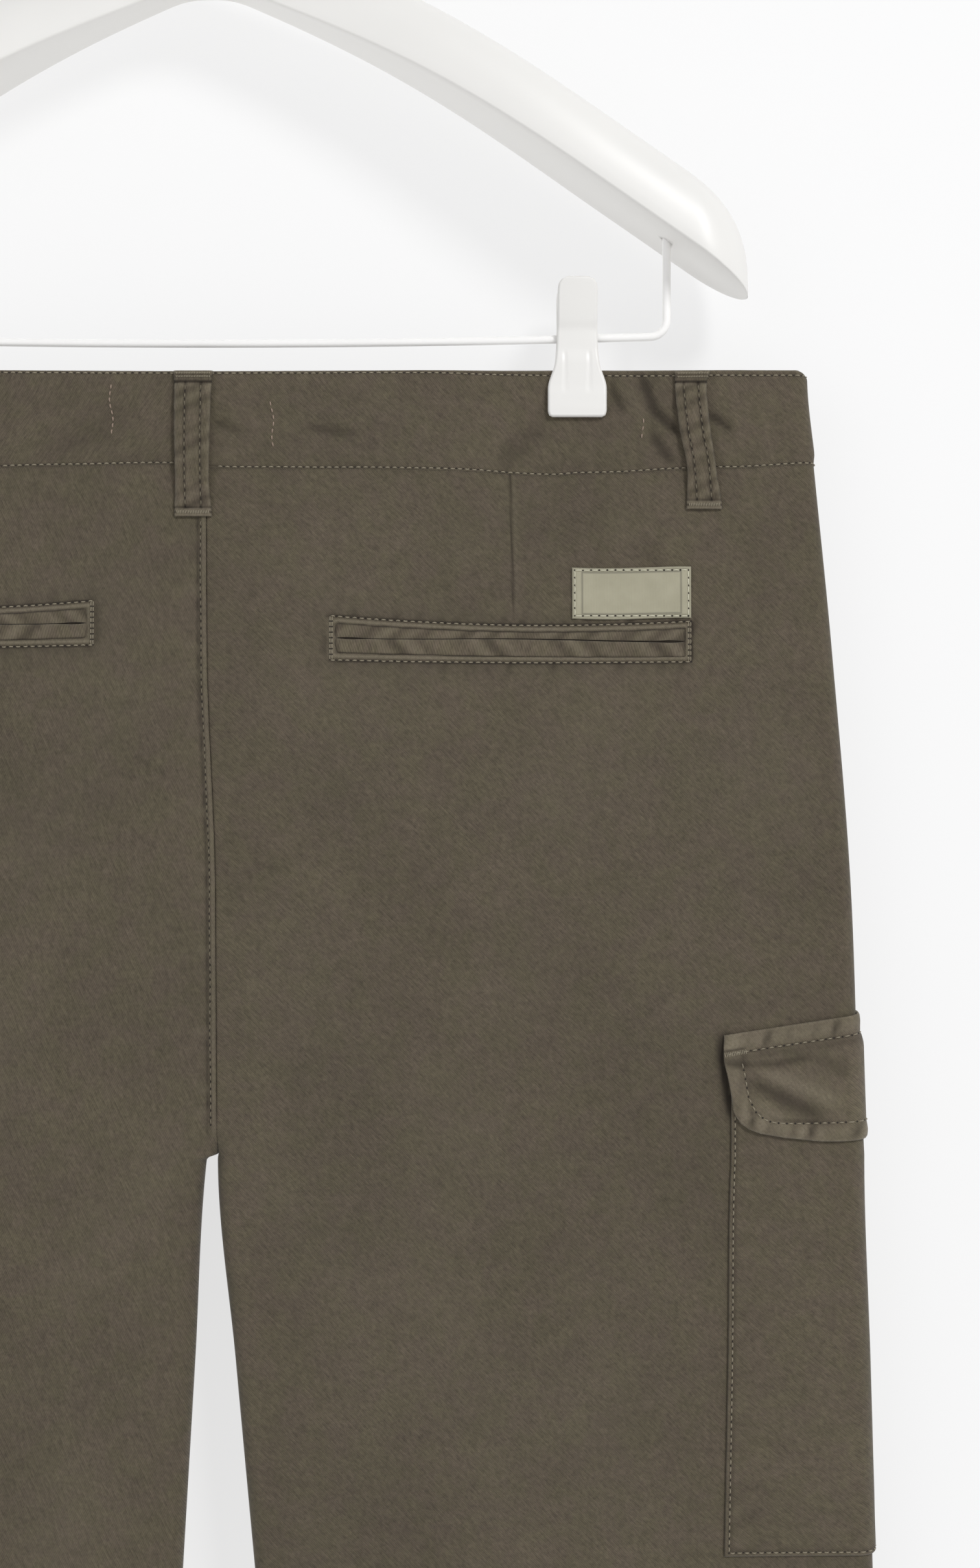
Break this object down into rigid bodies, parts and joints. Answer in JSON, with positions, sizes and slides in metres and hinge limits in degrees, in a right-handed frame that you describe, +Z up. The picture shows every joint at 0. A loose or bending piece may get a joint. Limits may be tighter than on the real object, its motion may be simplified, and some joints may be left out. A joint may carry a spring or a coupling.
{
  "type": "cargo bermuda shorts on a clip hanger",
  "caption": "Cotton twill cargo bermuda shorts clipped flat by the waistband to a white shoulder hanger with a wire bar, with cargo pockets round the side folds.",
  "frame": {"origin": "the point inside the top of the hanger's hook that a rail bears on", "axes": "+Z up, +Y from the shorts' back to their front, +X towards the wearer's right"},
  "size_m": [0.5087, 0.046, 0.7886],
  "materials": {
    "twill": "washed cotton twill",
    "worn_twill": "washed cotton twill, paler on its edges",
    "label": "plain woven patch",
    "button": "satin",
    "white_plastic": "satin",
    "white_wire": "smooth white coat"
  },
  "bodies": {
    "root": {"back_left": "twill", "back_right": "twill", "back_welt_lower_left": "worn_twill", "back_welt_lower_right": "worn_twill", "back_welt_upper_left": "worn_twill", "back_welt_upper_right": "worn_twill", "belt_loop_back_centre": "worn_twill", "belt_loop_back_left": "worn_twill", "belt_loop_back_right": "worn_twill", "belt_loop_front_left": "worn_twill", "belt_loop_front_right": "worn_twill", "cargo_flap_left": "worn_twill", "cargo_flap_right": "worn_twill", "cargo_pocket_left": "twill", "cargo_pocket_right": "twill", "clip_left_back": "white_plastic", "clip_left_front": "white_plastic", "clip_right_back": "white_plastic", "clip_right_front": "white_plastic", "front_hip_left": "twill", "front_hip_right": "twill", "front_left": "twill", "front_right": "twill", "hanger_hook": "white_wire", "hanger_shoulders": "white_plastic", "label_patch": "label", "trouser_bar": "white_wire", "waist_button": "button", "waistband_left": "twill", "waistband_right": "twill"}
  },
  "joints": []
}
